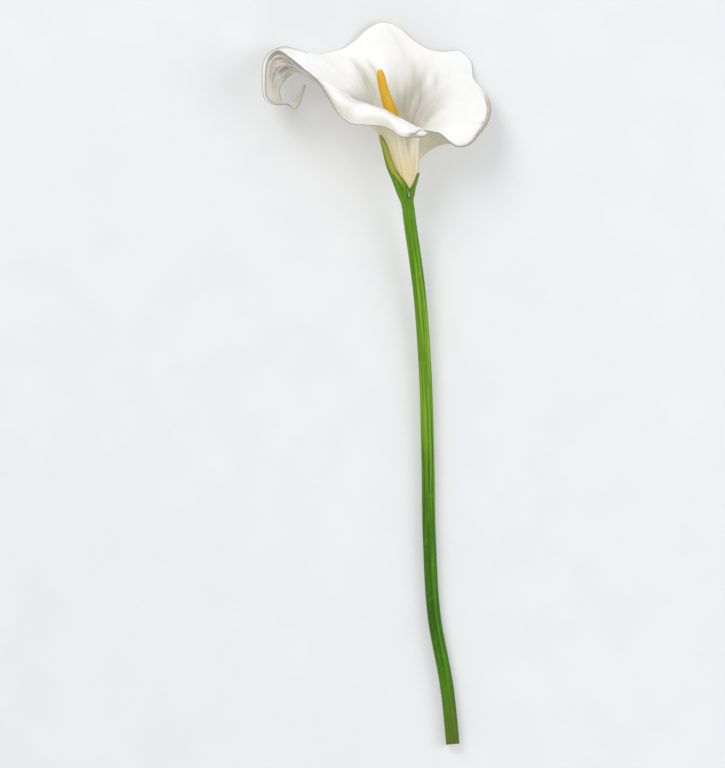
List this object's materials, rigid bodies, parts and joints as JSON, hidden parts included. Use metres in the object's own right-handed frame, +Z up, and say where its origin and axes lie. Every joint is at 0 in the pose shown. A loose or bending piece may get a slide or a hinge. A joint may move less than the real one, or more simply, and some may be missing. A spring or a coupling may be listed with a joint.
{
  "type": "arum lily flower",
  "caption": "One arum lily bloom as picked, lying down: a white sheet rolled into a funnel with a flared limb and a curled tail, a yellow spadix and a long green stem.",
  "frame": {"origin": "under the middle of the flower's outline, on the surface that it lies on", "axes": "+X to the bloom's right, +Y from the cut end of the stem to the bloom, +Z up"},
  "size_m": [0.1402, 0.4472, 0.0598],
  "materials": {
    "stem green": "satin, ridged",
    "spathe white": "waxy satin",
    "ovary green": "satin",
    "stamen yellow": "matt, granular"
  },
  "bodies": {
    "root": {"flower_stem": "stem green", "spathe": "spathe white", "spadix_female_zone": "ovary green", "spadix_male_zone": "stamen yellow"}
  },
  "joints": []
}
